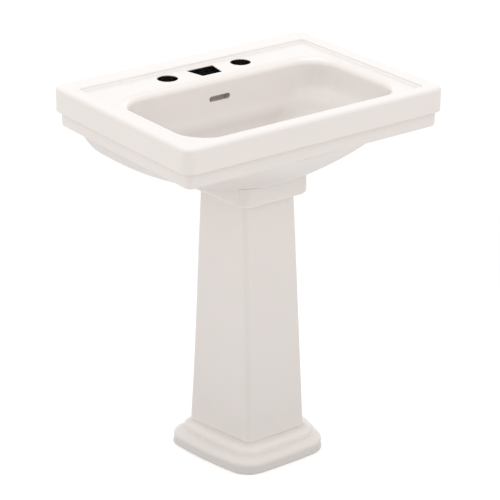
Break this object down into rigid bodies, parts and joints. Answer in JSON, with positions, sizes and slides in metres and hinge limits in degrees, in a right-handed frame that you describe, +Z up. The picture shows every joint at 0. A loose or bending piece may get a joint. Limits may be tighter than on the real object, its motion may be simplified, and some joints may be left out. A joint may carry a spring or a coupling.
{
  "type": "pedestal sink",
  "caption": "Glazed ceramic wash basin with a stepped rectangular apron on a tapered hollow pedestal, with a push-pull drain stopper and a chromed trap.",
  "frame": {"origin": "on the floor, under the centre of the basin's footprint", "axes": "+Z up, -Y towards the user, +Y towards the wall the back rests on, +X to the user's right"},
  "size_m": [0.7, 0.526, 0.883],
  "materials": {
    "basin_glaze": "glossy warm off-white glaze",
    "pedestal_glaze": "glossy warm off-white glaze",
    "pad_rubber": "soft pale rubber",
    "drain_metal": "polished chrome plate",
    "seal_rubber": "matt black rubber",
    "washer_plastic": "satin white plastic",
    "locknut_brass": "machined brass",
    "tube_metal": "polished chrome plate",
    "stopper_metal": "polished chrome plate",
    "sleeve_plastic": "satin dark plastic",
    "post_brass": "turned brass",
    "nut_metal": "polished chrome plate",
    "trap_metal": "polished chrome plate"
  },
  "bodies": {
    "fixture": {"basin": "basin_glaze", "pedestal": "pedestal_glaze", "rest_pads": "pad_rubber", "drain_body": "drain_metal", "flange_gasket": "seal_rubber", "tapered_gasket": "seal_rubber", "friction_washer": "washer_plastic", "drain_locknut": "locknut_brass", "tailpiece_seal": "seal_rubber", "tailpiece": "tube_metal", "stopper_post": "post_brass", "post_oring": "seal_rubber", "trap_inlet_nut": "nut_metal", "trap_inlet_washer": "washer_plastic", "trap_bend": "trap_metal", "trap_union_nut": "nut_metal", "trap_union_washer": "washer_plastic", "trap_arm": "tube_metal", "cleanout_plug": "nut_metal", "cleanout_gasket": "seal_rubber", "wall_escutcheon": "trap_metal"},
    "stopper": {"stopper_cap": "stopper_metal", "stopper_seal": "seal_rubber", "stopper_sleeve": "sleeve_plastic"}
  },
  "joints": [
    {"name": "stopper_slide", "type": "slide", "parent": "fixture", "child": "stopper", "axis": [0, 0, 1], "range_m": [0, 0.01]}
  ]
}
